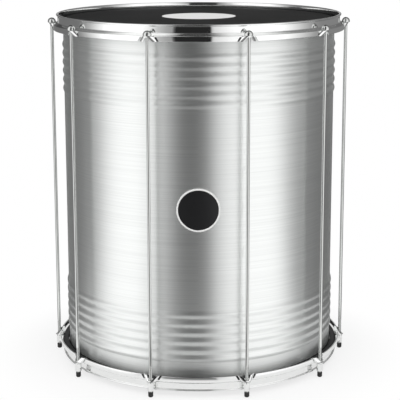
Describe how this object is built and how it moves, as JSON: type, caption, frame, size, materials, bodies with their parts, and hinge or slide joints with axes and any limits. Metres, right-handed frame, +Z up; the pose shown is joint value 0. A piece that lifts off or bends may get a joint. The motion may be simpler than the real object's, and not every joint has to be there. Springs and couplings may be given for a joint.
{
  "type": "surdo",
  "caption": "Deep cylindrical bass drum with a ridged aluminium shell, dark napa heads, chromed stamped hoops, long tension rods with tuning nuts and rubber caps to stand on.",
  "frame": {"origin": "on the floor at the drum's axis, under the rubber caps", "axes": "+Z up along the drum's axis, -Y to the front, where the badge is"},
  "size_m": [0.568, 0.5446, 0.6603],
  "materials": {
    "shell_aluminium": "brushed round the shell, clear lacquer",
    "hoop_chrome": "polished",
    "rod_chrome": "polished",
    "flesh_hoop_skin": "black napa lapped round the ring",
    "napa_head": "black napa with a fine grain",
    "cap_rubber": "matt",
    "badge_enamel": "black enamel field in a bright rim"
  },
  "bodies": {
    "drum": {"shell": "shell_aluminium", "top_hoop": "hoop_chrome", "bottom_hoop": "hoop_chrome", "top_flesh_hoop": "flesh_hoop_skin", "bottom_flesh_hoop": "flesh_hoop_skin", "top_head": "napa_head", "bottom_head": "napa_head", "badge": "badge_enamel", "tension_rod_01": "rod_chrome", "tension_rod_02": "rod_chrome", "tension_rod_03": "rod_chrome", "tension_rod_04": "rod_chrome", "tension_rod_05": "rod_chrome", "tension_rod_06": "rod_chrome", "tension_rod_07": "rod_chrome", "tension_rod_08": "rod_chrome", "tension_rod_09": "rod_chrome", "tension_rod_10": "rod_chrome", "rubber_cap_01": "cap_rubber", "rubber_cap_02": "cap_rubber", "rubber_cap_03": "cap_rubber", "rubber_cap_04": "cap_rubber", "rubber_cap_05": "cap_rubber", "rubber_cap_06": "cap_rubber", "rubber_cap_07": "cap_rubber", "rubber_cap_08": "cap_rubber", "rubber_cap_09": "cap_rubber", "rubber_cap_10": "cap_rubber"},
    "washer_01": {"cup_washer_01": "rod_chrome"},
    "nut_01": {"tuning_nut_01": "rod_chrome"},
    "washer_02": {"cup_washer_02": "rod_chrome"},
    "nut_02": {"tuning_nut_02": "rod_chrome"},
    "washer_03": {"cup_washer_03": "rod_chrome"},
    "nut_03": {"tuning_nut_03": "rod_chrome"},
    "washer_04": {"cup_washer_04": "rod_chrome"},
    "nut_04": {"tuning_nut_04": "rod_chrome"},
    "washer_05": {"cup_washer_05": "rod_chrome"},
    "nut_05": {"tuning_nut_05": "rod_chrome"},
    "washer_06": {"cup_washer_06": "rod_chrome"},
    "nut_06": {"tuning_nut_06": "rod_chrome"},
    "washer_07": {"cup_washer_07": "rod_chrome"},
    "nut_07": {"tuning_nut_07": "rod_chrome"},
    "washer_08": {"cup_washer_08": "rod_chrome"},
    "nut_08": {"tuning_nut_08": "rod_chrome"},
    "washer_09": {"cup_washer_09": "rod_chrome"},
    "nut_09": {"tuning_nut_09": "rod_chrome"},
    "washer_10": {"cup_washer_10": "rod_chrome"},
    "nut_10": {"tuning_nut_10": "rod_chrome"}
  },
  "joints": [
    {"name": "nut_travel_01", "type": "slide", "parent": "drum", "child": "washer_01", "axis": [0, 0, -1], "range_m": [0, 0.00151]},
    {"name": "nut_turn_01", "type": "hinge", "parent": "washer_01", "child": "nut_01", "pos_m": [0.08541, -0.26287, 0.0187], "axis": [0, 0, -1], "range_deg": [0, 540]},
    {"name": "nut_travel_02", "type": "slide", "parent": "drum", "child": "washer_02", "axis": [0, 0, -1], "range_m": [0, 0.00151]},
    {"name": "nut_turn_02", "type": "hinge", "parent": "washer_02", "child": "nut_02", "pos_m": [0.22361, -0.16246, 0.0187], "axis": [0, 0, -1], "range_deg": [0, 540]},
    {"name": "nut_travel_03", "type": "slide", "parent": "drum", "child": "washer_03", "axis": [0, 0, -1], "range_m": [0, 0.00151]},
    {"name": "nut_turn_03", "type": "hinge", "parent": "washer_03", "child": "nut_03", "pos_m": [0.2764, 0, 0.0187], "axis": [0, 0, -1], "range_deg": [0, 540]},
    {"name": "nut_travel_04", "type": "slide", "parent": "drum", "child": "washer_04", "axis": [0, 0, -1], "range_m": [0, 0.00151]},
    {"name": "nut_turn_04", "type": "hinge", "parent": "washer_04", "child": "nut_04", "pos_m": [0.22361, 0.16246, 0.0187], "axis": [0, 0, -1], "range_deg": [0, 540]},
    {"name": "nut_travel_05", "type": "slide", "parent": "drum", "child": "washer_05", "axis": [0, 0, -1], "range_m": [0, 0.00151]},
    {"name": "nut_turn_05", "type": "hinge", "parent": "washer_05", "child": "nut_05", "pos_m": [0.08541, 0.26287, 0.0187], "axis": [0, 0, -1], "range_deg": [0, 540]},
    {"name": "nut_travel_06", "type": "slide", "parent": "drum", "child": "washer_06", "axis": [0, 0, -1], "range_m": [0, 0.00151]},
    {"name": "nut_turn_06", "type": "hinge", "parent": "washer_06", "child": "nut_06", "pos_m": [-0.08541, 0.26287, 0.0187], "axis": [0, 0, -1], "range_deg": [0, 540]},
    {"name": "nut_travel_07", "type": "slide", "parent": "drum", "child": "washer_07", "axis": [0, 0, -1], "range_m": [0, 0.00151]},
    {"name": "nut_turn_07", "type": "hinge", "parent": "washer_07", "child": "nut_07", "pos_m": [-0.22361, 0.16246, 0.0187], "axis": [0, 0, -1], "range_deg": [0, 540]},
    {"name": "nut_travel_08", "type": "slide", "parent": "drum", "child": "washer_08", "axis": [0, 0, -1], "range_m": [0, 0.00151]},
    {"name": "nut_turn_08", "type": "hinge", "parent": "washer_08", "child": "nut_08", "pos_m": [-0.2764, 0, 0.0187], "axis": [0, 0, -1], "range_deg": [0, 540]},
    {"name": "nut_travel_09", "type": "slide", "parent": "drum", "child": "washer_09", "axis": [0, 0, -1], "range_m": [0, 0.00151]},
    {"name": "nut_turn_09", "type": "hinge", "parent": "washer_09", "child": "nut_09", "pos_m": [-0.22361, -0.16246, 0.0187], "axis": [0, 0, -1], "range_deg": [0, 540]},
    {"name": "nut_travel_10", "type": "slide", "parent": "drum", "child": "washer_10", "axis": [0, 0, -1], "range_m": [0, 0.00151]},
    {"name": "nut_turn_10", "type": "hinge", "parent": "washer_10", "child": "nut_10", "pos_m": [-0.08541, -0.26287, 0.0187], "axis": [0, 0, -1], "range_deg": [0, 540]}
  ],
  "couplings": [
    {"joint": "nut_travel_01", "follows": "nut_turn_01", "m_per_rad": 0.00015915},
    {"joint": "nut_travel_02", "follows": "nut_turn_02", "m_per_rad": 0.00015915},
    {"joint": "nut_travel_03", "follows": "nut_turn_03", "m_per_rad": 0.00015915},
    {"joint": "nut_travel_04", "follows": "nut_turn_04", "m_per_rad": 0.00015915},
    {"joint": "nut_travel_05", "follows": "nut_turn_05", "m_per_rad": 0.00015915},
    {"joint": "nut_travel_06", "follows": "nut_turn_06", "m_per_rad": 0.00015915},
    {"joint": "nut_travel_07", "follows": "nut_turn_07", "m_per_rad": 0.00015915},
    {"joint": "nut_travel_08", "follows": "nut_turn_08", "m_per_rad": 0.00015915},
    {"joint": "nut_travel_09", "follows": "nut_turn_09", "m_per_rad": 0.00015915},
    {"joint": "nut_travel_10", "follows": "nut_turn_10", "m_per_rad": 0.00015915}
  ]
}
